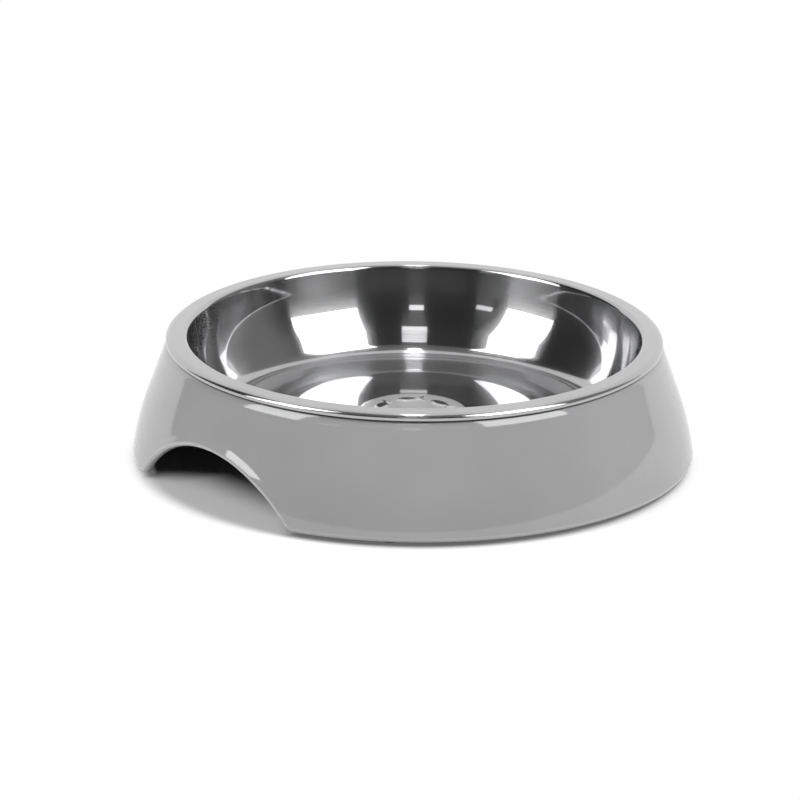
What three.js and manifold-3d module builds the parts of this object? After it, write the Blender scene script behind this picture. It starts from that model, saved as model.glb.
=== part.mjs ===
// A round cat bowl: a polished steel dish that lifts out of a glossy moulded base.
// The base is a tapered ring with two finger arches, and it stands on four push-in rubber feet.
// Millimetres, +Z up. The origin is on the floor under the bowl's centre, and the arches are on the X axis.

import * as THREE from 'three';
import { mergeVertices, toCreasedNormals } from 'three/addons/utils/BufferGeometryUtils.js';
import Module from 'manifold-3d';

// Overall sizes
const overallDiameter = 175;
const overallHeight = 39.6;

// Steel dish, all measured on its upper surface
const sheetThickness = 0.6;
const rimDiameter = 155;
const rimBendRadius = 1.45;
const rimSkirtDrop = 0.7;
const flangeWidth = 3.9;
const flangeSlope = 3.7;
const mouthBendRadius = 1.5;
const wallTopLean = 12.3;
const wallStraight = 5.2;
const wallBottomLean = 34.7;
const wallCone = 4.4;
const dishDepth = 25.8;
const floorBendRadius = 6.3;
const floorRingWidth = 12.6;
const discStepWidth = 6.2;
const discRise = 0.9;

// Base shell
const shellWall = 2.4;
const neckWall = 2.4;
const sideLowerTurn = 8.5;
const sideUpperTurn = 2.8;
const bottomEdgeRadius = 1.4;
const shoulderInset = 0.15;
const shadowGap = 0.45;
const seatGap = 0.3;

// Finger arches
const archRise = 17.45;
const archRadius = 44;
const archFlareRadius = 3.5;

// Rubber feet and the bosses that hold them
const footProud = 1.2;
const footRecess = 0.8;
const footHeadDiameter = 8;
const footStemDiameter = 4;
const footStemLength = 5;
const footEdgeChamfer = 0.4;
const footAngles = [45, 135, 225, 315];
const socketGap = 0.2;
const bossWall = 1.2;

// Facets round a full turn, and how far a chord may stray from its arc in a profile
const bowlFacets = 64;
const footFacets = 16;
const chordError = 0.15;

// Angle past which an edge is drawn sharp, and how far a cutter runs past what it cuts
const creaseAngle = THREE.MathUtils.degToRad(35);
const cutterMargin = 5;

const steel = new THREE.MeshStandardMaterial({ color: 0xc4c5c6, roughness: 0.06, metalness: 1 });
const greyMelamine = new THREE.MeshStandardMaterial({ color: 0x9c9da0, roughness: 0.18, metalness: 0 });
const rubber = new THREE.MeshStandardMaterial({ color: 0x2a2a2b, roughness: 0.8, metalness: 0 });

const wasm = await Module();
wasm.setup();

// Points of an arc in a profile's plane, x across and y up, with its angles in degrees
function arc(centre, radius, fromAngle, toAngle) {
  const chordAngle = THREE.MathUtils.radToDeg(2 * Math.acos(1 - chordError / radius));
  const steps = Math.ceil(Math.abs(toAngle - fromAngle) / chordAngle);
  const points = [];
  for (let step = 0; step <= steps; step += 1) {
    const angle = THREE.MathUtils.degToRad(THREE.MathUtils.lerp(fromAngle, toAngle, step / steps));
    points.push(new THREE.Vector2(Math.cos(angle), Math.sin(angle)).multiplyScalar(radius).add(centre));
  }
  return points;
}

// A profile of radius and height, turned about the Z axis
function turned(profile, facets) {
  return new THREE.LatheGeometry(profile, facets).rotateX(Math.PI / 2);
}

// A closed geometry as a solid that can be joined and cut
function toSolid(geometry) {
  const bare = new THREE.BufferGeometry();
  bare.setAttribute('position', geometry.getAttribute('position'));
  bare.setIndex(geometry.getIndex());
  const merged = mergeVertices(bare);
  const corners = merged.getIndex().array;
  const triangles = [];
  for (let i = 0; i < corners.length; i += 3) {
    const [a, b, c] = corners.slice(i, i + 3);
    if (a !== b && b !== c && c !== a) triangles.push(a, b, c);
  }
  const mesh = new wasm.Mesh({
    numProp: 3,
    vertProperties: new Float32Array(merged.getAttribute('position').array),
    triVerts: new Uint32Array(triangles),
  });
  return new wasm.Manifold(mesh);
}

function toGeometry(solid) {
  const mesh = solid.getMesh();
  const geometry = new THREE.BufferGeometry();
  geometry.setAttribute('position', new THREE.BufferAttribute(mesh.vertProperties, 3));
  geometry.setIndex(new THREE.BufferAttribute(mesh.triVerts, 1));
  return geometry;
}

function namedMesh(name, geometry, material) {
  const mesh = new THREE.Mesh(toCreasedNormals(geometry, creaseAngle), material);
  mesh.name = name;
  return mesh;
}

// A direction in a profile's plane, with its angle in degrees from the radius
function heading(angle) {
  const radians = THREE.MathUtils.degToRad(angle);
  return new THREE.Vector2(Math.cos(radians), Math.sin(radians));
}

// Heights and radii that the pieces share. The flange slopes down from the mouth's bend to the rim's bend
const overallRadius = overallDiameter / 2;
const rimRadius = rimDiameter / 2;
const flangeNormal = heading(90 - flangeSlope);
const mouthToRim = heading(-flangeSlope)
  .multiplyScalar(flangeWidth)
  .addScaledVector(flangeNormal, mouthBendRadius - rimBendRadius);
const mouth = new THREE.Vector2(rimRadius - rimBendRadius - mouthToRim.x, overallHeight - mouthBendRadius);
const rimBend = mouth.clone().add(mouthToRim);
const skirtEnd = rimBend.y - rimSkirtDrop;

// One side of the dish's sheet, from the axis out over the rim: depth 0 is the upper surface
function dishSide(depth) {
  const inward = heading(180 - wallTopLean);
  const wallFoot = heading(-wallBottomLean);
  const floorHeight = overallHeight - dishDepth;

  // From the mouth's bend the wall runs down straight, as one long arc, and as a cone to the floor's bend
  const wallTurn = mouth.clone()
    .addScaledVector(inward, mouthBendRadius)
    .addScaledVector(heading(270 - wallTopLean), wallStraight);
  const cone = heading(270 - wallBottomLean).multiplyScalar(wallCone);
  const wallDrop = wallTurn.y + cone.y - floorHeight - floorBendRadius * (1 + wallFoot.y);
  const wallRadius = wallDrop / (-wallFoot.y - inward.y);
  const wall = wallTurn.clone().addScaledVector(inward, wallRadius);
  const floorBend = wall.clone()
    .addScaledVector(wallFoot, wallRadius - floorBendRadius)
    .add(cone);

  // The centre disc is raised above the floor ring by a step of two equal arcs
  const stepAngle = 2 * Math.atan2(discRise, discStepWidth);
  const stepRadius = discStepWidth / (2 * Math.sin(stepAngle));
  const stepDegrees = THREE.MathUtils.radToDeg(stepAngle);
  const stepFoot = new THREE.Vector2(floorBend.x - floorRingWidth, floorHeight + stepRadius);
  const stepHead = new THREE.Vector2(stepFoot.x - discStepWidth, floorHeight + discRise - stepRadius);

  return [
    new THREE.Vector2(0, floorHeight + discRise - depth),
    ...arc(stepHead, stepRadius - depth, 90, 90 - stepDegrees),
    ...arc(stepFoot, stepRadius + depth, 270 - stepDegrees, 270).slice(1),
    ...arc(floorBend, floorBendRadius + depth, -90, -wallBottomLean),
    ...arc(wall, wallRadius + depth, -wallBottomLean, -wallTopLean),
    ...arc(mouth, mouthBendRadius - depth, 180 - wallTopLean, 90 - flangeSlope),
    ...arc(rimBend, rimBendRadius - depth, 90 - flangeSlope, 0),
    new THREE.Vector2(rimRadius - depth, skirtEnd),
  ];
}

function steelDish() {
  const profile = [...dishSide(sheetThickness), ...dishSide(0).reverse()];
  return namedMesh('steel_dish', turned(profile, bowlFacets), steel);
}

// The shell's outer side is an arc up from the widest point, above the lower edge, and then straight to the
// shoulder. Its two ends turn by the given angles, in degrees, off the line that joins them
const shoulder = new THREE.Vector2(rimRadius - shoulderInset, skirtEnd - shadowGap);
const widest = new THREE.Vector2(overallRadius, footProud + bottomEdgeRadius);

function outerSide() {
  const chord = shoulder.clone().sub(widest);
  const lean = THREE.MathUtils.radToDeg(chord.angle()) - 90;
  const lower = heading(sideLowerTurn);
  const upper = heading(sideUpperTurn);
  const bend = upper.y / (upper.x - lower.x);
  const straight = chord.length() / (bend * (upper.y + lower.y) + upper.x);
  const radius = straight * bend;
  const top = lean + sideUpperTurn;
  const turn = shoulder.clone().addScaledVector(heading(top + 90), -straight);
  const centre = turn.clone().addScaledVector(heading(top), -radius);
  return { centre, radius, turn, bottom: lean - sideLowerTurn, top };
}

function sideRadiusAt(height) {
  const { centre, radius, turn } = outerSide();
  if (height < turn.y) return centre.x + Math.sqrt(radius ** 2 - (height - centre.y) ** 2);
  return THREE.MathUtils.mapLinear(height, turn.y, shoulder.y, turn.x, shoulder.x);
}

// The ring's section: up the outer side, over the neck that fits inside the dish's rim, and down inside
function shellSection() {
  const { centre, radius, bottom, top } = outerSide();
  const side = [...arc(centre, radius, bottom, top), shoulder];
  const lowerEdge = new THREE.Vector2(overallRadius - bottomEdgeRadius, widest.y);
  const neckBendRadius = rimBendRadius - sheetThickness - seatGap;
  const neckRadius = rimBend.x + neckBendRadius;
  const neckTop = rimBend.y + neckBendRadius;
  const inside = side.map((point) => new THREE.Vector2(point.x - shellWall, point.y)).reverse();
  return [
    new THREE.Vector2(overallRadius - shellWall, footProud),
    ...arc(lowerEdge, bottomEdgeRadius, -90, 0),
    ...side.slice(1),
    new THREE.Vector2(neckRadius, shoulder.y),
    ...arc(rimBend, neckBendRadius, 0, 90),
    new THREE.Vector2(neckRadius - neckWall, neckTop),
    new THREE.Vector2(neckRadius - neckWall, shoulder.y),
    ...inside.slice(1),
    new THREE.Vector2(overallRadius - shellWall, footProud),
  ];
}

// One tunnel along X cuts both finger arches, each flared where it meets the lower edge
function archCutter() {
  const arch = new THREE.Vector2(0, footProud + archRise - archRadius);
  const flareHeight = footProud + archFlareRadius;
  const reach = archRadius + archFlareRadius;
  const flare = new THREE.Vector2(Math.sqrt(reach ** 2 - (flareHeight - arch.y) ** 2), flareHeight);
  const mirrored = new THREE.Vector2(-flare.x, flare.y);
  const joinAngle = THREE.MathUtils.radToDeg(Math.atan2(flare.y - arch.y, flare.x));
  const outline = [
    new THREE.Vector2(-flare.x, footProud - cutterMargin),
    new THREE.Vector2(flare.x, footProud - cutterMargin),
    ...arc(flare, archFlareRadius, 270, 180 + joinAngle),
    ...arc(arch, archRadius, joinAngle, 180 - joinAngle).slice(1),
    ...arc(mirrored, archFlareRadius, -joinAngle, -90).slice(1),
  ];
  const length = 2 * (overallRadius + cutterMargin);
  const tunnel = new THREE.ExtrudeGeometry(new THREE.Shape(outline), { depth: length, bevelEnabled: false });
  return tunnel.translate(0, 0, -length / 2).rotateX(Math.PI / 2).rotateZ(Math.PI / 2);
}

// A foot's section, grown by a clearance to make the socket that it is pushed into
const footHeadThickness = footProud + footRecess;
const footTop = footHeadThickness + footStemLength;

function footSection(clearance, bottom) {
  const headRadius = footHeadDiameter / 2 + clearance;
  const stemRadius = footStemDiameter / 2 + clearance;
  return [
    new THREE.Vector2(0, bottom),
    new THREE.Vector2(headRadius - footEdgeChamfer, bottom),
    new THREE.Vector2(headRadius, bottom + footEdgeChamfer),
    new THREE.Vector2(headRadius, footHeadThickness + clearance),
    new THREE.Vector2(stemRadius, footHeadThickness + clearance),
    new THREE.Vector2(stemRadius, footTop + clearance - footEdgeChamfer),
    new THREE.Vector2(stemRadius - footEdgeChamfer, footTop + clearance),
    new THREE.Vector2(0, footTop + clearance),
  ];
}

const bossRadius = footHeadDiameter / 2 + socketGap + bossWall;
const bossTop = footTop + socketGap + bossWall;
const footCircleRadius = sideRadiusAt(bossTop) - shellWall / 2 - bossRadius;

function footPlace(angle) {
  const radians = THREE.MathUtils.degToRad(angle);
  return new THREE.Vector3(Math.cos(radians), Math.sin(radians), 0).multiplyScalar(footCircleRadius);
}

function boss(place) {
  const height = bossTop - footProud;
  const cylinder = new THREE.CylinderGeometry(bossRadius, bossRadius, height, footFacets);
  return cylinder.rotateX(Math.PI / 2).translate(place.x, place.y, footProud + height / 2);
}

function socket(place) {
  const section = footSection(socketGap, -cutterMargin);
  return turned(section, footFacets).translate(place.x, place.y, 0);
}

function baseShell() {
  let shell = toSolid(turned(shellSection(), bowlFacets)).subtract(toSolid(archCutter()));
  for (const angle of footAngles) {
    const place = footPlace(angle);
    shell = shell.add(toSolid(boss(place))).subtract(toSolid(socket(place)));
  }
  return namedMesh('base_shell', toGeometry(shell), greyMelamine);
}

function rubberFoot(angle, index) {
  const section = footSection(0, 0);
  const foot = namedMesh(`rubber_foot_${index + 1}`, turned(section, footFacets), rubber);
  foot.position.copy(footPlace(angle));
  return foot;
}

const catBowl = new THREE.Group();
catBowl.name = 'cat_bowl';
catBowl.add(baseShell(), steelDish(), ...footAngles.map(rubberFoot));

export default catBowl;
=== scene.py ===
# A cat bowl: a mirror-polished steel dish that lifts out of a glossy grey base on rubber feet.
# The fine surfaces, finishes, studio and camera are made here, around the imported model's frame.

import math

import bmesh
import bpy
import numpy as np
from mathutils import Matrix, Quaternion, Vector


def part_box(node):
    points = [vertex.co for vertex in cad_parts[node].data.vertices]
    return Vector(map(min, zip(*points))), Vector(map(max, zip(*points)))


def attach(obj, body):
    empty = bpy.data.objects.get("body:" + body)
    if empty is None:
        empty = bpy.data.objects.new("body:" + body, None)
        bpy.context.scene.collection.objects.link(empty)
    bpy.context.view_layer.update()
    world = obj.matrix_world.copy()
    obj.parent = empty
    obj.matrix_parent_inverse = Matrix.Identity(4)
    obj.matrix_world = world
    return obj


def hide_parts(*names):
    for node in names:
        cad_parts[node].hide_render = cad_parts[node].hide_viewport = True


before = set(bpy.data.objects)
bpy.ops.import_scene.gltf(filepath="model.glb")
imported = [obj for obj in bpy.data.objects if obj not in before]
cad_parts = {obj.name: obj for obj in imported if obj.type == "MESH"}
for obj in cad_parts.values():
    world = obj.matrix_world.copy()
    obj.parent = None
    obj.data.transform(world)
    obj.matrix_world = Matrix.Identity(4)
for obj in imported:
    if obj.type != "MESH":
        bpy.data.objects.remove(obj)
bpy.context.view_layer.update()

MM = 0.001


def box_mm(node):
    """A node's lowest and highest corners, in millimetres."""
    return [np.array(corner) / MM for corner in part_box(node)]


# Sizes that the frame gives, in millimetres
dish_low, dish_high = box_mm("steel_dish")
shell_low, shell_high = box_mm("base_shell")
foot_low, foot_high = box_mm("rubber_foot_1")
RIM_RADIUS = dish_high[1]
RIM_TOP = dish_high[2]
DISH_BOTTOM = dish_low[2]
OUTER_RADIUS = shell_high[1]
SHELL_BOTTOM = shell_low[2]
NECK_TOP = shell_high[2]
FOOT_HEAD_RADIUS = (foot_high[0] - foot_low[0]) / 2
FOOT_TOP = foot_high[2]

# Steel dish, in millimetres and degrees, as the solid has it
SHEET = 0.6
RIM_BEND = 1.45
SKIRT_DROP = 0.7
FLANGE = 3.9
FLANGE_SLOPE = 3.7
MOUTH_BEND = 1.5
WALL_TOP_LEAN = 12.3
WALL_STRAIGHT = 5.2
WALL_BOTTOM_LEAN = 34.7
WALL_CONE = 4.4
FLOOR_BEND = 6.3
FLOOR_RING = 12.6
DISC_STEP = 6.2
DISC_RISE = 0.9

# The upper side of the dish's rim, finer than the solid's: a soft roll off the flange and a tight bend
RIM_ROLL = 2.6
RIM_ROLL_TURN = 50
RIM_EDGE = 0.6

# Stamped design on the dish's centre disc: polished fish that swim round a frosted roundel
ROUNDEL_RADIUS = 16.5
ROUNDEL_RISE = 0.2
FISH_RISE = 0.35
STAMP_EDGE = 0.3
FISH_COUNT = 6
FISH_CIRCLE = 10.6
FISH_HALF_LENGTH = 3.7
FISH_HALF_WIDTH = 1.75
TAIL_START = 2.3
TAIL_END = 5.6
TAIL_SPREAD = 0.6
TAIL_NOTCH = 0.95

# Base shell and its finger arches, as the solid has them
SHELL_WALL = 2.4
NECK_WALL = 2.4
SIDE_LOWER_TURN = 8.5
SIDE_UPPER_TURN = 2.8
BOTTOM_EDGE = 1.4
SHOULDER_INSET = 0.15
SEAT_GAP = 0.3
ARCH_RISE = 17.45
ARCH_RADIUS = 44
ARCH_FLARE = 3.5

# Shoulder and neck, finer than the solid's: the shadow line under the rim, and rounded edges
SHADOW_GAP = 0.6
GROOVE_DEPTH = 0.9
GROOVE_HEIGHT = 0.9
NECK_ROUND = 0.1
SHOULDER_ROLL = 7.5
SHOULDER_TURN = 20
SHOULDER_ROUND = 0.2

# Edges of the arches: their rounded lip, and the outward flare of the side above them
ARCH_LIP = 1.25
LIP_BLEND = 4
LIP_INNER_ROUND = 0.25
LIP_BAND = 1.2
LIP_PALE_REACH = (1.3, 1.8)
EDGE_FLARE_REACH = 4.5
EDGE_FLARE_BLEND = 1
EDGE_FLARE_SLOPE = 0.17
EDGE_FLARE_HEIGHT = (9, 15)

# Rubber feet and their bosses, with edges rounder than the solids'
FOOT_RECESS = 0.8
FOOT_STEM_RADIUS = 2
FOOT_ROUND = 0.4
FOOT_HOLLOW_RADIUS = 2.4
FOOT_HOLLOW_DEPTH = 0.35
SOCKET_GAP = 0.2
BOSS_WALL = 1.2
BOSS_ROUND = 0.5

# Rows and columns of the meshes
DISH_SEGMENTS = 256
FOOT_SEGMENTS = 64
FLOOR_SEGMENTS = 96
DISC_ROWS = 110
UNDER_DISC_ROWS = 12
STEP_ROWS = 8
STRAIGHT_ROWS = 6
FLOOR_BEND_ROWS = 20
WALL_ROWS = 36
BEND_ROWS = 14
FLANGE_ROWS = 4
SKIRT_ROWS = 3
TIGHT_ROWS = 8
NECK_BEND_ROWS = 10
NECK_ROWS = 4
ROUND_ROWS = 5
FOOT_ROUND_ROWS = 6
STEM_ROWS = 4
CAP_ROWS = 3
SHORT_ROWS = 2
ARCH_COLUMNS = 44
FLARE_COLUMNS = 16
EDGE_COLUMNS = 64
SIDE_ROWS = 48
LIP_BAND_ROWS = 4
LIP_ROWS = 10
LOWER_FACE_ROWS = 4
INSIDE_ROWS = 24

# Edges sharper than this stay sharp
CREASE = math.radians(35)

# Noise: the stretch in which most of its values lie, and the form of smears
NOISE_SPAN = (0.3, 0.7)
SMEAR_DETAIL = 4
SMEAR_ROUGHNESS = 0.6

# Melamine, with scales per metre and depths in metres
MELAMINE_LIGHT = (0.335, 0.335, 0.34)
MELAMINE_DARK = (0.317, 0.317, 0.321)
MELAMINE_SPECK = (0.293, 0.293, 0.298)
MELAMINE_LIP = (0.41, 0.41, 0.414)
MELAMINE_IOR = 1.6
MELAMINE_ROUGHNESS = (0.04, 0.075)
MELAMINE_SMEAR_SCALE = 60
CLOUD_SCALE = 45
SPECKLE_SCALE = 2600
SPECKLE_SPAN = (0.35, 0.75)
SPECKLE_SHARE = 0.3
RIPPLE_SCALE = 110
RIPPLE_DEPTH = 0.00002
SKIN_SCALE = 900
SKIN_DEPTH = 0.0000012

# Steel: a mirror under a haze of lines round the axis. The haze is thinner in the dish's centre, whose
# edge is given in millimetres
STEEL_LIGHT = (0.51, 0.51, 0.515)
STEEL_DARK = (0.48, 0.48, 0.487)
STEEL_ROUGHNESS = (0.03, 0.06)
STEEL_SMEAR_SCALE = 55
STEEL_SMEAR_SPAN = (0.35, 0.75)
FROST_TONE = (0.56, 0.56, 0.565)
FROST_ROUGHNESS = 0.4
LINE_SCALE = 3200
LINE_DETAIL = 3
LINE_DRIFT = 0.012
LINE_DEPTH = 0.0000015
HAZE_SHARE = (0.4, 0.46)
HAZE_ROUGHNESS = 0.2
HAZE_ANISOTROPY = 1.0
HAZE_ROTATION = 0.25
CENTRE_HAZE = 0.45
CENTRE_EDGE = (36, 44)

# Rubber, with scales per metre and depths in metres
RUBBER_DARK = (0.026, 0.026, 0.027)
RUBBER_DUST = (0.055, 0.054, 0.053)
RUBBER_ROUGHNESS = (0.7, 0.9)
RUBBER_ROUGHNESS_SPAN = (0.3, 0.8)
DUST_SCALE = 300
DUST_DETAIL = 4
DUST_ROUGHNESS = 0.7
DUST_SPAN = (0.45, 0.8)
GRAIN_SCALE = 4500
GRAIN_DEPTH = 0.00002

# Camera, found from the rim and lower edge in the photograph: pixels, metres and degrees, with the
# sensor in millimetres
IMAGE_SIZE = 800
SENSOR = 36
FOCAL_PIXELS = 11251
CAMERA_DISTANCE = 3.513
CAMERA_AZIMUTH = -40.2
CAMERA_ELEVATION = 18.53
CAMERA_ROLL = 0.7
CLIP_DISTANCES = 4
AIM_HEIGHT = 0.020
AIM_PIXEL = (413.75, 394.57)

# Light panels, in metres and degrees. Azimuths are from the camera's side of the bowl, to the right,
# and facing is the direction that a panel's light comes from
PANELS = {
    "softbox_right": dict(
        azimuth=59, elevation=53.2, distance=1.2, size=(0.68, 1.08), facing=(69.3, 14.9), roll=-14.9,
        radiance=6,
    ),
    "softbox_left": dict(
        azimuth=-73.1, elevation=44.5, distance=1.15, size=(0.55, 0.98), facing=(-38.6, 16.7), roll=-1.9,
        radiance=6,
    ),
    "fill_front": dict(
        azimuth=0, elevation=51.97, distance=1.38, size=(0.27, 0.0985), facing=(0, 49.5), radiance=2.6
    ),
    "spot_front": dict(
        azimuth=-1, elevation=30.8, distance=1.36, size=(0.17, 0.12), facing=(-1, 28.4), radiance=2.5
    ),
    "spot_left": dict(
        azimuth=-39.3, elevation=24.7, distance=1.36, size=(0.2, 0.1), facing=(-38.3, 22.5), radiance=2
    ),
    "overhead_back": dict(
        azimuth=180, elevation=76.2, distance=1.45, size=(0.095, 0.48), facing=(180, 78.5), radiance=3.2
    ),
    "overhead_front": dict(
        azimuth=0, elevation=86.6, distance=1.41, size=(0.1, 0.115), facing=(0, 86.6), radiance=8
    ),
}

# Room round the bowl: its greys, and the angles over which they blend, in degrees
ROOM_FRONT = 0.03
ROOM_RIGHT = 0.25
ROOM_RIGHT_AZIMUTH = (68, 92)
CEILING_GREY = 0.2
CEILING_ELEVATION = (55, 61)
BACKDROP_GREY = 1.0
BACKDROP_AZIMUTH = (124.5, 127.5)

# Floor, in metres, with the bowl's shadow and painted light and shade round it and in the arches
FLOOR_RADIUS = 4
FLOOR_GREY = 0.9
# Painted shade: the matte floor is coloured darker under the bowl, inside these radii
PAINTED_SHADE_GREY = 0.3
PAINTED_SHADE_EDGE = (0.082, 0.0875)
# Painted light: the floor glows faintly from just under the bowl's lower edge outward, which lightens the
# contact shadow
CONTACT_GLOW_SHARE = 0.12
CONTACT_GLOW_EDGE = (0.081, 0.0835)
# Painted shadow edge: past these radii, taken from a centre moved toward the camera, the floor glows plain
# white
SHADOW_EDGE = (0.0852, 0.0902)
PAINTED_SHADOW_SHIFT = 0.0035
# Painted light in the arches: a glow on the floor that the camera alone sees
PAINTED_ARCH_LIGHT_SHARE = 0.316
PAINTED_ARCH_LIGHT_DEPTH = (0.0548, 0.075)
PAINTED_ARCH_LIGHT_ACROSS = (0.031, 0.041)
PAINTED_ARCH_LIGHT_HALF = 0.022
PAINTED_ARCH_LIGHT_FAN = 0.9


def heading(degrees):
    """The unit vector at an angle in a profile's plane."""
    return np.array([math.cos(math.radians(degrees)), math.sin(math.radians(degrees))])


def arc(centre, radius, start, end, steps):
    """Points of an arc in a profile's plane, with its angles in degrees."""
    angles = np.radians(np.linspace(start, end, steps + 1))
    return np.column_stack([np.cos(angles), np.sin(angles)]) * radius + np.array(centre)


def line(start, end, steps):
    """Points of a straight stretch in a profile's plane."""
    share = np.linspace(0, 1, steps + 1)[:, None]
    return np.array(start) * (1 - share) + np.array(end) * share


def joined(*stretches):
    """Stretches of a profile end to end, with the points that they share kept once."""
    points = [stretches[0]]
    for stretch in stretches[1:]:
        same = np.allclose(points[-1][-1], stretch[0], atol=1e-6)
        points.append(stretch[1:] if same else stretch)
    return np.vstack(points)


def smooth_step(low, high, value):
    """0 below the low value and 1 above the high one, with a smooth rise between."""
    share = np.clip((value - low) / (high - low), 0, 1)
    return share * share * (3 - 2 * share)


def unit(vectors):
    """The vectors at a length of 1."""
    return vectors / np.linalg.norm(vectors, axis=-1, keepdims=True)


def mesh_object(name, points, faces, material):
    """A smooth mesh with its faces pointing out and its sharp edges marked, from points in millimetres."""
    mesh = bpy.data.meshes.new(name)
    mesh.from_pydata((np.asarray(points) * MM).tolist(), [], faces)
    shape = bmesh.new()
    shape.from_mesh(mesh)
    bmesh.ops.recalc_face_normals(shape, faces=shape.faces)
    shape.to_mesh(mesh)
    shape.free()
    mesh.shade_smooth()
    mesh.set_sharp_from_angle(angle=CREASE)
    mesh.materials.append(material)
    piece = bpy.data.objects.new(name, mesh)
    bpy.context.scene.collection.objects.link(piece)
    return piece


def ring_faces(first, second, columns):
    """Quads between two closed rows of points, given by the numbers of their first points."""
    return [
        (first + c, first + (c + 1) % columns, second + (c + 1) % columns, second + c)
        for c in range(columns)
    ]


def fan_faces(pole, row, columns):
    """Triangles between a point and a closed row of points."""
    return [(pole, row + c, row + (c + 1) % columns) for c in range(columns)]


def lathe(profile, columns):
    """Points and faces of a profile that starts and ends on the axis, turned about Z."""
    angles = np.linspace(0, 2 * math.pi, columns, endpoint=False)
    inner = profile[1:-1]
    radii, heights = inner[:, 0][:, None], inner[:, 1][:, None]
    rows = np.stack(
        [radii * np.cos(angles), radii * np.sin(angles), heights + 0 * angles], axis=-1
    )
    poles = [(0, 0, profile[0][1]), (0, 0, profile[-1][1])]
    points = np.vstack([poles, rows.reshape(-1, 3)])
    last = 2 + (len(inner) - 1) * columns
    faces = fan_faces(0, 2, columns) + fan_faces(1, last, columns)
    for row in range(len(inner) - 1):
        faces += ring_faces(2 + row * columns, 2 + (row + 1) * columns, columns)
    return points, faces


# Materials

def new_material(name):
    """A material with its node tree, its Principled shader and the object's own coordinates."""
    material = bpy.data.materials.new(name)
    material.use_nodes = True
    tree = material.node_tree
    coordinates = tree.nodes.new("ShaderNodeTexCoord").outputs["Object"]
    return material, tree, tree.nodes["Principled BSDF"], coordinates


def math_node(tree, operation, first, second=None):
    """A Math node; each input is a number or another node's output."""
    node = tree.nodes.new("ShaderNodeMath")
    node.operation = operation
    for socket, value in zip(node.inputs, (first, second)):
        if value is None:
            continue
        if isinstance(value, (int, float)):
            socket.default_value = value
        else:
            tree.links.new(value, socket)
    return node.outputs["Value"]


def noise(tree, vector, scale, detail=2.0, roughness=0.5):
    """The values of a noise texture."""
    node = tree.nodes.new("ShaderNodeTexNoise")
    node.inputs["Scale"].default_value = scale
    node.inputs["Detail"].default_value = detail
    node.inputs["Roughness"].default_value = roughness
    tree.links.new(vector, node.inputs["Vector"])
    return node.outputs["Fac"]


def map_range(tree, value, from_low, from_high, to_low, to_high, smooth=False):
    """A value taken from one range to another, and held at the ends."""
    node = tree.nodes.new("ShaderNodeMapRange")
    node.interpolation_type = "SMOOTHSTEP" if smooth else "LINEAR"
    tree.links.new(value, node.inputs["Value"])
    for name, number in (
        ("From Min", from_low), ("From Max", from_high), ("To Min", to_low), ("To Max", to_high),
    ):
        node.inputs[name].default_value = number
    return node.outputs["Result"]


def mix_colours(tree, share, first, second):
    """A mix of two colours; each is a tuple or another node's output."""
    node = tree.nodes.new("ShaderNodeMix")
    node.data_type = "RGBA"
    tree.links.new(share, node.inputs["Factor"])
    # The names of a Mix node's sockets repeat for each type, so its colour sockets go by number
    for socket, colour in ((node.inputs[6], first), (node.inputs[7], second)):
        if isinstance(colour, tuple):
            socket.default_value = (*colour, 1)
        else:
            tree.links.new(colour, socket)
    return node.outputs[2]


def mix_shaders(tree, share, first, second):
    """Puts a mix of two shaders on the material's surface."""
    node = tree.nodes.new("ShaderNodeMixShader")
    tree.links.new(share, node.inputs["Fac"])
    tree.links.new(first, node.inputs[1])
    tree.links.new(second, node.inputs[2])
    tree.links.new(node.outputs["Shader"], tree.nodes["Material Output"].inputs["Surface"])


def vector_math(tree, operation, vector, constant):
    """The number that a Vector Math node makes of another node's output and a constant vector."""
    node = tree.nodes.new("ShaderNodeVectorMath")
    node.operation = operation
    node.inputs[1].default_value = constant
    tree.links.new(vector, node.inputs[0])
    return node.outputs["Value"]


def point_values(tree, name):
    """The numbers that a piece keeps for its points under a name."""
    node = tree.nodes.new("ShaderNodeAttribute")
    node.attribute_name = name
    return node.outputs["Fac"]


def keep_point_values(piece, name, values):
    """Keeps a number for each point of a piece, for its material."""
    attribute = piece.data.attributes.new(name, "FLOAT", "POINT")
    attribute.data.foreach_set("value", values.astype(np.float32))


def bump(tree, height, distance, normal=None):
    """The normal of a fine relief, whose depth is in metres."""
    node = tree.nodes.new("ShaderNodeBump")
    node.inputs["Distance"].default_value = distance
    tree.links.new(height, node.inputs["Height"])
    if normal is not None:
        tree.links.new(normal, node.inputs["Normal"])
    return node.outputs["Normal"]


def melamine():
    """Glossy grey moulded melamine: faint clouds and speckle, a slight ripple, and a paler lip."""
    material, tree, shader, place = new_material("base_melamine")
    clouds = map_range(tree, noise(tree, place, CLOUD_SCALE, detail=3), *NOISE_SPAN, 0, 1)
    speckle = map_range(tree, noise(tree, place, SPECKLE_SCALE), *SPECKLE_SPAN, 0, SPECKLE_SHARE)
    tone = mix_colours(tree, clouds, MELAMINE_DARK, MELAMINE_LIGHT)
    tone = mix_colours(tree, speckle, tone, MELAMINE_SPECK)
    tone = mix_colours(tree, point_values(tree, "lip"), tone, MELAMINE_LIP)
    tree.links.new(tone, shader.inputs["Base Color"])
    smears = noise(tree, place, MELAMINE_SMEAR_SCALE, SMEAR_DETAIL, SMEAR_ROUGHNESS)
    roughness = map_range(tree, smears, *NOISE_SPAN, *MELAMINE_ROUGHNESS)
    tree.links.new(roughness, shader.inputs["Roughness"])
    ripple = bump(tree, noise(tree, place, RIPPLE_SCALE, detail=1), RIPPLE_DEPTH)
    skin = bump(tree, noise(tree, place, SKIN_SCALE), SKIN_DEPTH, normal=ripple)
    tree.links.new(skin, shader.inputs["Normal"])
    shader.inputs["IOR"].default_value = MELAMINE_IOR
    return material


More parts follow.
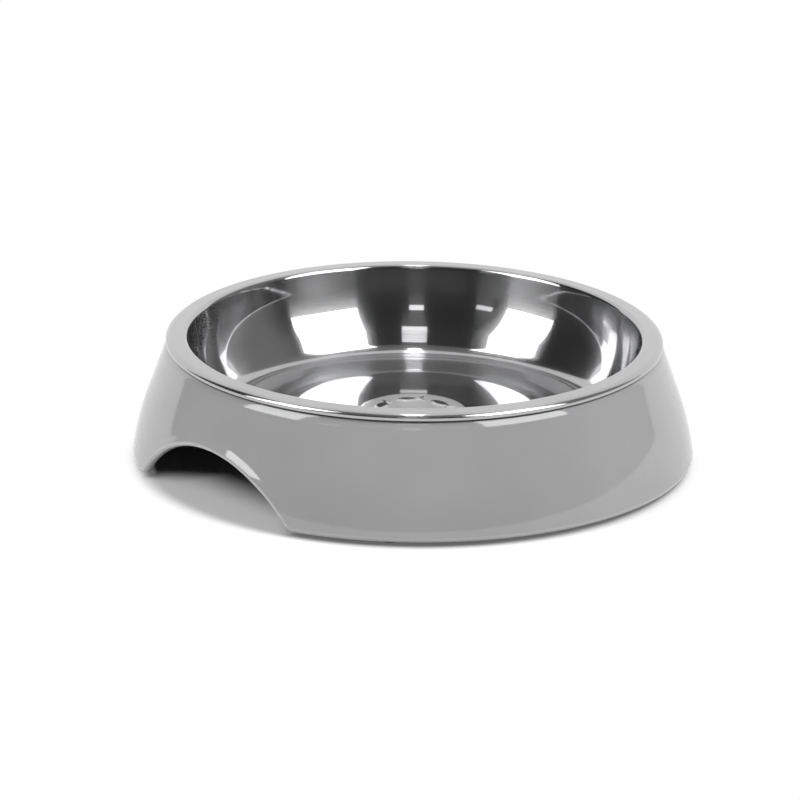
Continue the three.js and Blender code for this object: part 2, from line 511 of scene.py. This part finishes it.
def spun_lines(tree, place):
    """Noise in fine lines round the axis: it changes fast with radius and height, and slowly round it."""
    split = tree.nodes.new("ShaderNodeSeparateXYZ")
    tree.links.new(place, split.inputs["Vector"])
    x, y, z = (split.outputs[axis] for axis in "XYZ")
    squares = [math_node(tree, "MULTIPLY", axis, axis) for axis in (x, y)]
    spun = tree.nodes.new("ShaderNodeCombineXYZ")
    tree.links.new(math_node(tree, "SQRT", math_node(tree, "ADD", *squares)), spun.inputs["X"])
    tree.links.new(z, spun.inputs["Y"])
    tree.links.new(math_node(tree, "MULTIPLY", x, LINE_DRIFT), spun.inputs["Z"])
    lines = tree.nodes.new("ShaderNodeTexNoise")
    lines.noise_dimensions = "4D"
    lines.inputs["Scale"].default_value = LINE_SCALE
    lines.inputs["Detail"].default_value = LINE_DETAIL
    tree.links.new(spun.outputs["Vector"], lines.inputs["Vector"])
    tree.links.new(math_node(tree, "MULTIPLY", y, LINE_DRIFT), lines.inputs["W"])
    return lines.outputs["Fac"]


def polished_steel():
    """Mirror-polished steel under a haze of polishing lines round the axis, with frosted stamping."""
    material, tree, mirror, place = new_material("dish_steel")
    haze = tree.nodes.new("ShaderNodeBsdfPrincipled")
    frost = point_values(tree, "frost")
    smears = noise(tree, place, STEEL_SMEAR_SCALE, SMEAR_DETAIL, SMEAR_ROUGHNESS)
    lines = spun_lines(tree, place)
    sheen = map_range(tree, smears, *STEEL_SMEAR_SPAN, *STEEL_ROUGHNESS)
    frosted = math_node(tree, "MULTIPLY", frost, FROST_ROUGHNESS)
    tree.links.new(math_node(tree, "MAXIMUM", sheen, frosted), mirror.inputs["Roughness"])
    tone = mix_colours(tree, map_range(tree, smears, *NOISE_SPAN, 0, 1), STEEL_LIGHT, STEEL_DARK)
    tone = mix_colours(tree, frost, tone, FROST_TONE)
    relief = bump(tree, lines, LINE_DEPTH)
    round_axis = tree.nodes.new("ShaderNodeTangent")
    round_axis.direction_type = "RADIAL"
    round_axis.axis = "Z"
    for shader in (mirror, haze):
        tree.links.new(tone, shader.inputs["Base Color"])
        tree.links.new(relief, shader.inputs["Normal"])
        shader.inputs["Metallic"].default_value = 1
    tree.links.new(round_axis.outputs["Tangent"], haze.inputs["Tangent"])
    haze.inputs["Roughness"].default_value = HAZE_ROUGHNESS
    haze.inputs["Anisotropic"].default_value = HAZE_ANISOTROPY
    haze.inputs["Anisotropic Rotation"].default_value = HAZE_ROTATION
    share = map_range(tree, lines, *NOISE_SPAN, *HAZE_SHARE)
    kept = map_range(tree, point_values(tree, "centre"), 0, 1, 1, CENTRE_HAZE)
    share = math_node(tree, "MULTIPLY", share, kept)
    mix_shaders(tree, share, mirror.outputs["BSDF"], haze.outputs["BSDF"])
    return material


def rubber():
    """Matte black rubber with a fine grain and a little dust."""
    material, tree, shader, place = new_material("foot_rubber")
    dust = noise(tree, place, DUST_SCALE, DUST_DETAIL, DUST_ROUGHNESS)
    tone = mix_colours(tree, map_range(tree, dust, *DUST_SPAN, 0, 1), RUBBER_DARK, RUBBER_DUST)
    roughness = map_range(tree, dust, *RUBBER_ROUGHNESS_SPAN, *RUBBER_ROUGHNESS)
    grain = bump(tree, noise(tree, place, GRAIN_SCALE, detail=3), GRAIN_DEPTH)
    tree.links.new(tone, shader.inputs["Base Color"])
    tree.links.new(roughness, shader.inputs["Roughness"])
    tree.links.new(grain, shader.inputs["Normal"])
    return material


# Steel dish

def rim_bends():
    """Centres of the bends at the dish's mouth and outer rim, on either side of the sloping flange."""
    across = heading(-FLANGE_SLOPE) * FLANGE + heading(90 - FLANGE_SLOPE) * (MOUTH_BEND - RIM_BEND)
    mouth = np.array([RIM_RADIUS - RIM_BEND - across[0], RIM_TOP - MOUTH_BEND])
    return mouth, mouth + across


MOUTH_CENTRE, RIM_CENTRE = rim_bends()
SKIRT_END = RIM_CENTRE[1] - SKIRT_DROP
DISC_TOP = DISH_BOTTOM + SHEET + DISC_RISE


def fish_depth(x, y):
    """How far points of the disc lie inside a fish, in millimetres: below zero outside all of them."""
    radius = np.hypot(x, y)
    turn = np.arctan2(y, x) * FISH_COUNT / (2 * math.pi)
    angle = (turn - np.round(turn)) * 2 * math.pi / FISH_COUNT
    along = radius * np.sin(angle)
    across = np.abs(radius * np.cos(angle) - FISH_CIRCLE)
    side = (FISH_HALF_LENGTH**2 + FISH_HALF_WIDTH**2) / (2 * FISH_HALF_WIDTH)
    body = side - np.hypot(along, across + side - FISH_HALF_WIDTH)
    spread = TAIL_SPREAD * (TAIL_END - TAIL_START)
    tail = np.minimum(
        TAIL_SPREAD * (-along - TAIL_START) - across,
        along + TAIL_END - TAIL_NOTCH * (1 - across / spread),
    )
    return np.maximum(body, tail)


def rolled_rim():
    """The upper side of the outer rim: a soft roll off the flange, and a tight bend into the skirt."""
    normal = heading(90 - FLANGE_SLOPE)
    tight = heading(90 - RIM_ROLL_TURN)
    radius = RIM_RADIUS - RIM_EDGE - tight[0] * (RIM_ROLL - RIM_EDGE)
    level = normal @ MOUTH_CENTRE + MOUTH_BEND - RIM_ROLL
    roll = np.array([radius, (level - normal[0] * radius) / normal[1]])
    edge = roll + tight * (RIM_ROLL - RIM_EDGE)
    return joined(
        arc(roll, RIM_ROLL, 90 - FLANGE_SLOPE, 90 - RIM_ROLL_TURN, BEND_ROWS),
        arc(edge, RIM_EDGE, 90 - RIM_ROLL_TURN, 0, TIGHT_ROWS),
    )


def dish_side(depth):
    """One side of the dish's sheet, from the axis out over the rim: depth 0 is the upper surface."""
    inward = heading(180 - WALL_TOP_LEAN)
    wall_foot = heading(-WALL_BOTTOM_LEAN)
    floor = DISH_BOTTOM + SHEET
    wall_turn = MOUTH_CENTRE + inward * MOUTH_BEND + heading(270 - WALL_TOP_LEAN) * WALL_STRAIGHT
    cone = heading(270 - WALL_BOTTOM_LEAN) * WALL_CONE
    wall_drop = wall_turn[1] + cone[1] - floor - FLOOR_BEND * (1 + wall_foot[1])
    wall_radius = wall_drop / (-wall_foot[1] - inward[1])
    wall = wall_turn + inward * wall_radius
    bend = wall + wall_foot * (wall_radius - FLOOR_BEND) + cone
    step_angle = 2 * math.atan2(DISC_RISE, DISC_STEP)
    step_radius = DISC_STEP / (2 * math.sin(step_angle))
    step_turn = math.degrees(step_angle)
    step_foot = np.array([bend[0] - FLOOR_RING, floor + step_radius])
    step_head = np.array([step_foot[0] - DISC_STEP, floor + DISC_RISE - step_radius])
    disc_rows = DISC_ROWS
    rim = rolled_rim()
    if depth > 0:
        disc_rows = UNDER_DISC_ROWS
        rim = arc(RIM_CENTRE, RIM_BEND - depth, 90 - FLANGE_SLOPE, 0, BEND_ROWS)
    floor_bend = arc(bend, FLOOR_BEND + depth, -90, -WALL_BOTTOM_LEAN, FLOOR_BEND_ROWS)
    curved_wall = arc(wall, wall_radius + depth, -WALL_BOTTOM_LEAN, -WALL_TOP_LEAN, WALL_ROWS)
    mouth = arc(MOUTH_CENTRE, MOUTH_BEND - depth, 180 - WALL_TOP_LEAN, 90 - FLANGE_SLOPE, BEND_ROWS)
    return joined(
        line((0, DISC_TOP - depth), (step_head[0], DISC_TOP - depth), disc_rows),
        arc(step_head, step_radius - depth, 90, 90 - step_turn, STEP_ROWS),
        arc(step_foot, step_radius + depth, 270 - step_turn, 270, STEP_ROWS),
        line((step_foot[0], floor - depth), (bend[0], floor - depth), STRAIGHT_ROWS),
        floor_bend,
        line(floor_bend[-1], curved_wall[0], STRAIGHT_ROWS),
        curved_wall,
        line(curved_wall[-1], mouth[0], STRAIGHT_ROWS),
        mouth,
        line(mouth[-1], rim[0], FLANGE_ROWS),
        rim,
        line(rim[-1], (RIM_RADIUS - depth, SKIRT_END + SHEET / 2), SKIRT_ROWS),
    )


def steel_dish(material):
    """The dish's sheet, turned about its axis, with the stamping raised on its centre disc."""
    upper, under = dish_side(0), dish_side(SHEET)
    cut_edge = np.array([RIM_RADIUS - SHEET / 2, upper[-1][1]])
    profile = joined(under, arc(cut_edge, SHEET / 2, 180, 360, TIGHT_ROWS), upper[::-1])
    points, faces = lathe(profile, DISH_SEGMENTS)
    x, y, z = points.T
    radius = np.hypot(x, y)
    on_disc = np.abs(z - DISC_TOP) < SHEET / 4
    roundel = on_disc * smooth_step(-STAMP_EDGE, STAMP_EDGE, ROUNDEL_RADIUS - radius)
    fish = on_disc * smooth_step(-STAMP_EDGE, STAMP_EDGE, fish_depth(x, y))
    points[:, 2] += ROUNDEL_RISE * roundel + FISH_RISE * fish
    piece = mesh_object("steel_dish_skin", points, faces, material)
    keep_point_values(piece, "frost", roundel * (1 - fish))
    keep_point_values(piece, "centre", 1 - smooth_step(*CENTRE_EDGE, radius))
    return piece


# Base shell

SHOULDER = np.array([RIM_RADIUS - SHOULDER_INSET, SKIRT_END - SHADOW_GAP])
WIDEST = np.array([OUTER_RADIUS, SHELL_BOTTOM + BOTTOM_EDGE])


def outer_side():
    """The outer side: its arc's centre, radius and end, and the lean of the straight stretch above it."""
    chord = SHOULDER - WIDEST
    lean = math.degrees(math.atan2(chord[1], chord[0])) - 90
    lower, upper = heading(SIDE_LOWER_TURN), heading(SIDE_UPPER_TURN)
    bend = upper[1] / (upper[0] - lower[0])
    straight = np.linalg.norm(chord) / (bend * (upper[1] + lower[1]) + upper[0])
    top = lean + SIDE_UPPER_TURN
    turn = SHOULDER - heading(top + 90) * straight
    return turn - heading(top) * straight * bend, straight * bend, turn, top


SIDE_CENTRE, SIDE_RADIUS, SIDE_TURN, SIDE_LEAN = outer_side()


def shoulder_roll():
    """The soft roll of the side into the shoulder: its centre, and the height where it starts."""
    low, high = heading(SIDE_LEAN), heading(SIDE_LEAN + SHOULDER_TURN)
    drop = SHOULDER_ROLL * (high[1] - low[1]) + SHOULDER_ROUND * (1 - high[1])
    start = SHOULDER + heading(SIDE_LEAN - 90) * drop / low[0]
    return start - low * SHOULDER_ROLL, start[1]


ROLL_CENTRE, ROLL_START = shoulder_roll()


def on_circle(centre, radius, height):
    """A circle's outer radius and lean at heights on it."""
    lean = np.arcsin(np.clip((height - centre[1]) / radius, -1, 1))
    return centre[0] + radius * np.cos(lean), lean


def side_at(height):
    """The outer side's radius and lean at a height."""
    lower = on_circle(SIDE_CENTRE, SIDE_RADIUS, height)
    roll = on_circle(ROLL_CENTRE, SHOULDER_ROLL, height)
    lean = math.radians(SIDE_LEAN)
    straight = (SIDE_TURN[0] - (height - SIDE_TURN[1]) * math.tan(lean), lean)
    return [
        np.where(height < SIDE_TURN[1], low, np.where(height < ROLL_START, middle, high))
        for low, middle, high in zip(lower, straight, roll)
    ]


def spatial(angle, radius, height):
    """Points at angles round the axis, at radii from it and at heights."""
    return np.stack([radius * np.cos(angle), radius * np.sin(angle), height + 0 * angle], axis=-1)


def on_side(angle, height):
    """Points of the outer side at angles and heights."""
    return spatial(angle, side_at(height)[0], height)


def side_normal(angle, height):
    """The outer side's outward direction."""
    lean = side_at(height)[1]
    return spatial(angle, np.cos(lean), np.sin(lean))


def quarter_outline():
    """Angle and height of the shell's sharp lower edge over one quarter turn, from an arch's top."""
    arch = np.array([0, SHELL_BOTTOM + ARCH_RISE - ARCH_RADIUS])
    flare_height = SHELL_BOTTOM + ARCH_FLARE
    flare_across = math.sqrt((ARCH_RADIUS + ARCH_FLARE) ** 2 - (flare_height - arch[1]) ** 2)
    join = math.degrees(math.atan2(flare_height - arch[1], flare_across))
    opening = joined(
        arc(arch, ARCH_RADIUS, 90, join, ARCH_COLUMNS),
        arc((flare_across, flare_height), ARCH_FLARE, 180 + join, 270, FLARE_COLUMNS),
    )
    angle = np.arcsin(opening[:, 0] / side_at(opening[:, 1])[0])
    edge = np.linspace(angle[-1], math.pi / 2, EDGE_COLUMNS + 1)[1:]
    height = np.concatenate([opening[:, 1], np.full(EDGE_COLUMNS, SHELL_BOTTOM)])
    return np.concatenate([angle, edge]), height, len(opening)


def outline():
    """The whole lower edge: angles, heights, and which of its points are on an arch."""
    angle, height, opening = quarter_outline()
    arched = np.arange(len(angle)) < opening
    half_angle = np.concatenate([angle, math.pi - angle[-2::-1]])
    half_height = np.concatenate([height, height[-2::-1]])
    half_arched = np.concatenate([arched, arched[-2::-1]])
    return (
        np.concatenate([half_angle, half_angle[1:-1] + math.pi]),
        np.concatenate([half_height, half_height[1:-1]]),
        np.concatenate([half_arched, half_arched[1:-1]]),
    )


def turned_between(first, second, steps):
    """Unit vectors that turn evenly from one set of directions to another."""
    angle = np.arccos(np.clip((first * second).sum(-1), -1, 1))[:, None]
    shares = np.linspace(0, 1, steps + 1)
    return [
        (first * np.sin((1 - share) * angle) + second * np.sin(share * angle)) / np.sin(angle)
        for share in shares
    ]


def rounded_edge(corner, first, second, radius, steps):
    """Rows of points that round an edge between two faces with the given outward directions."""
    cosine = (first * second).sum(-1)[:, None]
    radius = np.reshape(radius, (-1, 1))
    centre = corner - radius * (first + second) / (1 + cosine)
    return [centre + radius * turn for turn in turned_between(first, second, steps)]


def neck_profile():
    """The shell's top: up inside the neck, over it, into the groove and out to the rolled shoulder."""
    neck_bend = RIM_BEND - SHEET - SEAT_GAP
    neck = RIM_CENTRE[0] + neck_bend
    inner = neck - NECK_WALL
    groove = neck - GROOVE_DEPTH
    step = SHOULDER[1]
    roll_end = SIDE_LEAN + SHOULDER_TURN
    round_centre = ROLL_CENTRE + heading(roll_end) * (SHOULDER_ROLL - SHOULDER_ROUND)
    return joined(
        line((inner, step - NECK_WALL), (inner, NECK_TOP - NECK_ROUND), NECK_ROWS),
        arc((inner + NECK_ROUND, NECK_TOP - NECK_ROUND), NECK_ROUND, 180, 90, ROUND_ROWS),
        arc(RIM_CENTRE, neck_bend, 90, 0, NECK_BEND_ROWS),
        line((neck, RIM_CENTRE[1]), (neck, step + GROOVE_HEIGHT), SHORT_ROWS),
        line((neck, step + GROOVE_HEIGHT), (groove, step + GROOVE_HEIGHT), SHORT_ROWS),
        line((groove, step + GROOVE_HEIGHT), (groove, step + NECK_ROUND), SHORT_ROWS),
        arc((groove + NECK_ROUND, step + NECK_ROUND), NECK_ROUND, 180, 270, NECK_ROWS),
        arc(round_centre, SHOULDER_ROUND, 90, roll_end, ROUND_ROWS),
    )


def edge_distance(points, edge):
    """Each point's distance to the nearest of an edge's points."""
    nearest = np.full(len(points), np.inf)
    for place in edge:
        nearest = np.minimum(nearest, np.linalg.norm(points - place, axis=1))
    return nearest


def flared(angle, height, edge):
    """Side points, moved outward where they come close to the edge of an arch."""
    points = on_side(angle, height)
    near = np.clip(EDGE_FLARE_REACH - edge_distance(points, edge), 0, None)
    bent = np.minimum(near, EDGE_FLARE_BLEND)
    rise = EDGE_FLARE_SLOPE * (near - bent + bent**2 / (2 * EDGE_FLARE_BLEND))
    rise *= smooth_step(*EDGE_FLARE_HEIGHT, height - SHELL_BOTTOM)
    return points + side_normal(angle, height) * rise[:, None]


def shell_rows():
    """Closed rows of points round the shell, from its neck over the outer side to the inner wall."""
    angle, height, arched = outline()
    corner = on_side(angle, height)
    along = unit(np.roll(corner, -1, axis=0) - np.roll(corner, 1, axis=0))
    radial = spatial(angle, np.ones_like(angle), 0 * angle)
    down = unit(np.cross(along, radial))
    down *= np.where(down[:, 2] > 0, -1, 1)[:, None]
    outward = side_normal(angle, height)

    neck = neck_profile()
    rows = [spatial(angle, radius, np.full_like(angle, level)) for radius, level in neck]

    # The side runs from the shoulder down to a band that follows the edge, and the lip rounds on from there
    lip_radius = BOTTOM_EDGE + (ARCH_LIP - BOTTOM_EDGE) * smooth_step(0, LIP_BLEND, height - SHELL_BOTTOM)
    lip = rounded_edge(corner, outward, down, lip_radius, LIP_ROWS)
    upward = unit(np.cross(outward, along))
    upward *= np.where(upward[:, 2] < 0, -1, 1)[:, None]
    band = lip[0] + upward * LIP_BAND
    band_angle = np.unwrap(np.arctan2(band[:, 1], band[:, 0]))
    band_angle += 2 * math.pi * np.round((angle - band_angle) / (2 * math.pi))
    top = neck[-1][1]
    side = []
    for share in np.linspace(0, 1, SIDE_ROWS + 1)[1:]:
        level = top + (band[:, 2] - top) * share
        side.append((angle + (band_angle - angle) * share**2, level))
    for step in np.linspace(1, 0, LIP_BAND_ROWS + 1)[1:]:
        place = lip[0] + upward * LIP_BAND * step
        side.append((np.arctan2(place[:, 1], place[:, 0]), place[:, 2]))
    rows += [flared(turn, level, corner[arched]) for turn, level in side]
    offset = rows[-1] - lip[0]
    rows += [row + offset for row in lip[1:]]

    # Across the wall's lower face, round its inner edge and up the inside
    inner_corner = corner - radial * SHELL_WALL
    inner_lip = rounded_edge(inner_corner, down, -outward, LIP_INNER_ROUND, ROUND_ROWS)
    shares = np.linspace(0, 1, LOWER_FACE_ROWS + 1)[1:-1]
    rows += [rows[-1] * (1 - share) + inner_lip[0] * share for share in shares]
    rows += inner_lip
    start = inner_lip[-1]
    inside_top = SHOULDER[1] - NECK_WALL - SHELL_WALL / 2
    for share in np.linspace(0, 1, INSIDE_ROWS + 1)[1:]:
        level = start[:, 2] + (inside_top - start[:, 2]) * share
        rows.append(spatial(angle, side_at(level)[0] - SHELL_WALL, level))
    return rows, corner


def boss(place, material):
    """A round boss inside the lower edge, with the socket that a foot is pushed into."""
    head = FOOT_HEAD_RADIUS + SOCKET_GAP
    stem = FOOT_STEM_RADIUS + SOCKET_GAP
    ledge = SHELL_BOTTOM + FOOT_RECESS + SOCKET_GAP
    radius = head + BOSS_WALL
    top = FOOT_TOP + SOCKET_GAP + BOSS_WALL
    profile = joined(
        line((0, top), (radius - BOSS_ROUND, top), CAP_ROWS),
        arc((radius - BOSS_ROUND, top - BOSS_ROUND), BOSS_ROUND, 90, 0, ROUND_ROWS),
        line((radius, top - BOSS_ROUND), (radius, SHELL_BOTTOM), STRAIGHT_ROWS),
        line((radius, SHELL_BOTTOM), (head, SHELL_BOTTOM), SHORT_ROWS),
        line((head, SHELL_BOTTOM), (head, ledge), SHORT_ROWS),
        line((head, ledge), (stem, ledge), SHORT_ROWS),
        line((stem, ledge), (stem, FOOT_TOP + SOCKET_GAP), STEM_ROWS),
        line((stem, FOOT_TOP + SOCKET_GAP), (0, FOOT_TOP + SOCKET_GAP), SHORT_ROWS),
    )
    points, faces = lathe(profile, FOOT_SEGMENTS)
    return mesh_object("boss", points + np.array([*place, 0]), faces, material)


def foot_nodes():
    """The names of the feet's nodes, in order."""
    return sorted(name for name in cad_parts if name.startswith("rubber_foot"))


def foot_place(node):
    """Where a foot's axis stands, in millimetres."""
    low, high = box_mm(node)
    return (low[:2] + high[:2]) / 2


def fuse(piece, other):
    """Fuses another solid into a piece, and removes it."""
    modifier = piece.modifiers.new("fuse", "BOOLEAN")
    modifier.operation = "UNION"
    modifier.solver = "EXACT"
    modifier.object = other
    evaluated = piece.evaluated_get(bpy.context.evaluated_depsgraph_get())
    fused = bpy.data.meshes.new_from_object(evaluated)
    piece.modifiers.clear()
    old = piece.data
    piece.data = fused
    fused.name = piece.name
    bpy.data.meshes.remove(old)
    bpy.data.objects.remove(other)


def base_shell(material):
    """The shell with its bosses, and how pale its lip is at each point."""
    rows, edge = shell_rows()
    columns = len(edge)
    faces = []
    for row in range(len(rows)):
        faces += ring_faces(row * columns, (row + 1) % len(rows) * columns, columns)
    piece = mesh_object("base_shell_skin", np.vstack(rows), faces, material)
    for node in foot_nodes():
        fuse(piece, boss(foot_place(node), material))
    piece.data.set_sharp_from_angle(angle=CREASE)
    places = np.empty(3 * len(piece.data.vertices), np.float32)
    piece.data.vertices.foreach_get("co", places)
    pale = 1 - smooth_step(*LIP_PALE_REACH, edge_distance(places.reshape(-1, 3) / MM, edge))
    keep_point_values(piece, "lip", pale)
    return piece


# Rubber feet

def rubber_foot(node, material):
    """A push-in foot: a round head with a shallow hollow under it, and a stem with a rounded tip."""
    ledge = SHELL_BOTTOM + FOOT_RECESS
    head, stem = FOOT_HEAD_RADIUS, FOOT_STEM_RADIUS
    hollow = FOOT_HOLLOW_RADIUS
    profile = joined(
        line((0, FOOT_HOLLOW_DEPTH), (hollow - FOOT_HOLLOW_DEPTH, FOOT_HOLLOW_DEPTH), CAP_ROWS),
        line((hollow - FOOT_HOLLOW_DEPTH, FOOT_HOLLOW_DEPTH), (hollow, 0), SHORT_ROWS),
        line((hollow, 0), (head - FOOT_ROUND, 0), SHORT_ROWS),
        arc((head - FOOT_ROUND, FOOT_ROUND), FOOT_ROUND, -90, 0, FOOT_ROUND_ROWS),
        line((head, FOOT_ROUND), (head, ledge - FOOT_ROUND), SHORT_ROWS),
        arc((head - FOOT_ROUND, ledge - FOOT_ROUND), FOOT_ROUND, 0, 90, FOOT_ROUND_ROWS),
        line((head - FOOT_ROUND, ledge), (stem, ledge), SHORT_ROWS),
        line((stem, ledge), (stem, FOOT_TOP - FOOT_ROUND), STEM_ROWS),
        arc((stem - FOOT_ROUND, FOOT_TOP - FOOT_ROUND), FOOT_ROUND, 0, 90, FOOT_ROUND_ROWS),
        line((stem - FOOT_ROUND, FOOT_TOP), (0, FOOT_TOP), SHORT_ROWS),
    )
    points, faces = lathe(profile, FOOT_SEGMENTS)
    return mesh_object(f"{node}_skin", points + np.array([*foot_place(node), 0]), faces, material)


# Studio and camera

def toward(azimuth, elevation):
    """The direction from the bowl at an azimuth and elevation, in degrees."""
    a, e = math.radians(azimuth), math.radians(elevation)
    return Vector((math.sin(a) * math.cos(e), -math.cos(a) * math.cos(e), math.sin(e)))


def panel(name, azimuth, elevation, distance, size, facing, radiance, roll=0):
    """A rectangular softbox, placed and turned by azimuths from the camera's side."""
    light = bpy.data.lights.new(name, "AREA")
    light.shape = "RECTANGLE"
    light.size, light.size_y = size
    light.energy = radiance * math.pi * size[0] * size[1]
    lamp = bpy.data.objects.new(name, light)
    lamp.location = toward(CAMERA_AZIMUTH + azimuth, elevation) * distance
    aim = toward(CAMERA_AZIMUTH + facing[0], facing[1])
    turn = aim.to_track_quat("Z", "Y") @ Quaternion((0, 0, 1), math.radians(roll))
    lamp.rotation_euler = turn.to_euler()
    lamp.visible_camera = False
    bpy.context.scene.collection.objects.link(lamp)


def grey(level):
    """A grey of a linear level."""
    return (level, level, level)


def studio_room():
    """A white sweep behind the bowl, and a dark room with a grey ceiling on the camera's side of it."""
    world = bpy.data.worlds.new("studio")
    bpy.context.scene.world = world
    world.use_nodes = True
    tree = world.node_tree
    direction = tree.nodes.new("ShaderNodeTexCoord").outputs["Generated"]
    front = toward(CAMERA_AZIMUTH, 0)
    right = toward(CAMERA_AZIMUTH + 90, 0)
    to_right = vector_math(tree, "DOT_PRODUCT", direction, right)
    to_front = vector_math(tree, "DOT_PRODUCT", direction, front)
    height = vector_math(tree, "DOT_PRODUCT", direction, (0, 0, 1))
    azimuth = math_node(tree, "ARCTAN2", to_right, to_front)
    turned = math_node(tree, "ABSOLUTE", azimuth)
    beside = map_range(tree, azimuth, *np.radians(ROOM_RIGHT_AZIMUTH), 0, 1, smooth=True)
    above = map_range(tree, height, *np.sin(np.radians(CEILING_ELEVATION)), 0, 1, smooth=True)
    behind = map_range(tree, turned, *np.radians(BACKDROP_AZIMUTH), 0, 1, smooth=True)
    colour = mix_colours(tree, beside, grey(ROOM_FRONT), grey(ROOM_RIGHT))
    colour = mix_colours(tree, above, colour, grey(CEILING_GREY))
    colour = mix_colours(tree, behind, colour, grey(BACKDROP_GREY))
    seen = tree.nodes.new("ShaderNodeLightPath").outputs["Is Camera Ray"]
    background = tree.nodes["Background"]
    colour = mix_colours(tree, seen, colour, grey(BACKDROP_GREY))
    tree.links.new(colour, background.inputs["Color"])


def painted_arch_light(tree, position):
    """The share of painted light on the floor in the finger arches: a glow where light through them would
    fall.
    """
    split = tree.nodes.new("ShaderNodeSeparateXYZ")
    tree.links.new(position, split.inputs["Vector"])
    depth, across = (math_node(tree, "ABSOLUTE", split.outputs[axis]) for axis in "XY")
    aside = math_node(tree, "MAXIMUM", math_node(tree, "SUBTRACT", across, PAINTED_ARCH_LIGHT_HALF), 0)
    fan = math_node(tree, "SUBTRACT", depth, math_node(tree, "MULTIPLY", aside, PAINTED_ARCH_LIGHT_FAN))
    near_arch = map_range(tree, fan, *PAINTED_ARCH_LIGHT_DEPTH, 0, PAINTED_ARCH_LIGHT_SHARE, smooth=True)
    in_arch = map_range(tree, across, *PAINTED_ARCH_LIGHT_ACROSS, 1, 0, smooth=True)
    return math_node(tree, "MULTIPLY", near_arch, in_arch)


def floor_material():
    """Matte white with the bowl's shadow close round it, painted light and shade, and plain white further
    out.
    """
    material = bpy.data.materials.new("floor_white")
    material.use_nodes = True
    tree = material.node_tree
    tree.nodes.remove(tree.nodes["Principled BSDF"])
    position = tree.nodes.new("ShaderNodeNewGeometry").outputs["Position"]
    shadow_centre = toward(CAMERA_AZIMUTH, 0) * PAINTED_SHADOW_SHIFT
    radius = vector_math(tree, "DISTANCE", position, (0, 0, 0))
    shadow_radius = vector_math(tree, "DISTANCE", position, shadow_centre)
    # Painted shadow edge: the floor turns to a plain white glow between these radii, round a centre moved
    # toward the camera
    far = map_range(tree, shadow_radius, *SHADOW_EDGE, 0, 1, smooth=True)
    # Painted light: a faint glow on the floor from just under the bowl's edge, which lightens the contact
    # shadow
    contact_glow = map_range(tree, radius, *CONTACT_GLOW_EDGE, 0, CONTACT_GLOW_SHARE, smooth=True)
    # Painted shade: the floor's colour is darker under the bowl
    under = map_range(tree, shadow_radius, *PAINTED_SHADE_EDGE, 0, 1, smooth=True)
    path = tree.nodes.new("ShaderNodeLightPath").outputs
    seen = math_node(tree, "MAXIMUM", path["Is Camera Ray"], path["Is Glossy Ray"])
    seen = math_node(tree, "MAXIMUM", seen, path["Is Transmission Ray"])
    around = math_node(tree, "MULTIPLY", math_node(tree, "MAXIMUM", far, contact_glow), seen)
    # Painted light in the arches, seen by the camera alone
    inside = math_node(tree, "MULTIPLY", painted_arch_light(tree, position), path["Is Camera Ray"])
    matte = tree.nodes.new("ShaderNodeBsdfDiffuse")
    tone = mix_colours(tree, under, grey(PAINTED_SHADE_GREY), grey(FLOOR_GREY))
    tree.links.new(tone, matte.inputs["Color"])
    white = tree.nodes.new("ShaderNodeEmission")
    white.inputs["Strength"].default_value = 1
    share = math_node(tree, "MAXIMUM", around, inside)
    mix_shaders(tree, share, matte.outputs["BSDF"], white.outputs["Emission"])
    material.cycles.emission_sampling = "NONE"
    return material


def white_floor():
    """A round floor under the bowl, which is staging and no part of it."""
    angles = np.linspace(0, 2 * math.pi, FLOOR_SEGMENTS, endpoint=False)
    points = spatial(angles, np.full(FLOOR_SEGMENTS, FLOOR_RADIUS / MM), np.zeros(FLOOR_SEGMENTS))
    floor = mesh_object("floor", points, [tuple(range(FLOOR_SEGMENTS))], floor_material())


def camera():
    """The camera at the photograph's angle, aimed so that the bowl's middle falls on its pixel."""
    data = bpy.data.cameras.new("camera")
    data.sensor_width = SENSOR
    data.lens = FOCAL_PIXELS * SENSOR / IMAGE_SIZE
    data.clip_end = CLIP_DISTANCES * CAMERA_DISTANCE
    eye = bpy.data.objects.new("camera", data)
    bpy.context.scene.collection.objects.link(eye)
    back = toward(CAMERA_AZIMUTH, CAMERA_ELEVATION)
    turn = (-back).to_track_quat("-Z", "Y").to_matrix() @ Matrix.Rotation(math.radians(CAMERA_ROLL), 3, "Z")
    pixel = CAMERA_DISTANCE / FOCAL_PIXELS
    middle = IMAGE_SIZE / 2
    shift = Vector(((middle - AIM_PIXEL[0]) * pixel, (AIM_PIXEL[1] - middle) * pixel, 0))
    place = Vector((0, 0, AIM_HEIGHT)) + back * CAMERA_DISTANCE + turn @ shift
    eye.matrix_world = Matrix.Translation(place) @ turn.to_4x4()
    bpy.context.scene.camera = eye


camera()
studio_room()
white_floor()
for panel_name, panel_values in PANELS.items():
    panel(panel_name, **panel_values)

shell_skin = base_shell(melamine())
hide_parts("base_shell")
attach(shell_skin, "base")

dish_skin = steel_dish(polished_steel())
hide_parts("steel_dish")
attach(dish_skin, "dish")

black_rubber = rubber()
for foot_node in foot_nodes():
    foot_skin = rubber_foot(foot_node, black_rubber)
    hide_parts(foot_node)
    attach(foot_skin, "base")

bpy.context.scene.view_settings.view_transform = "Standard"
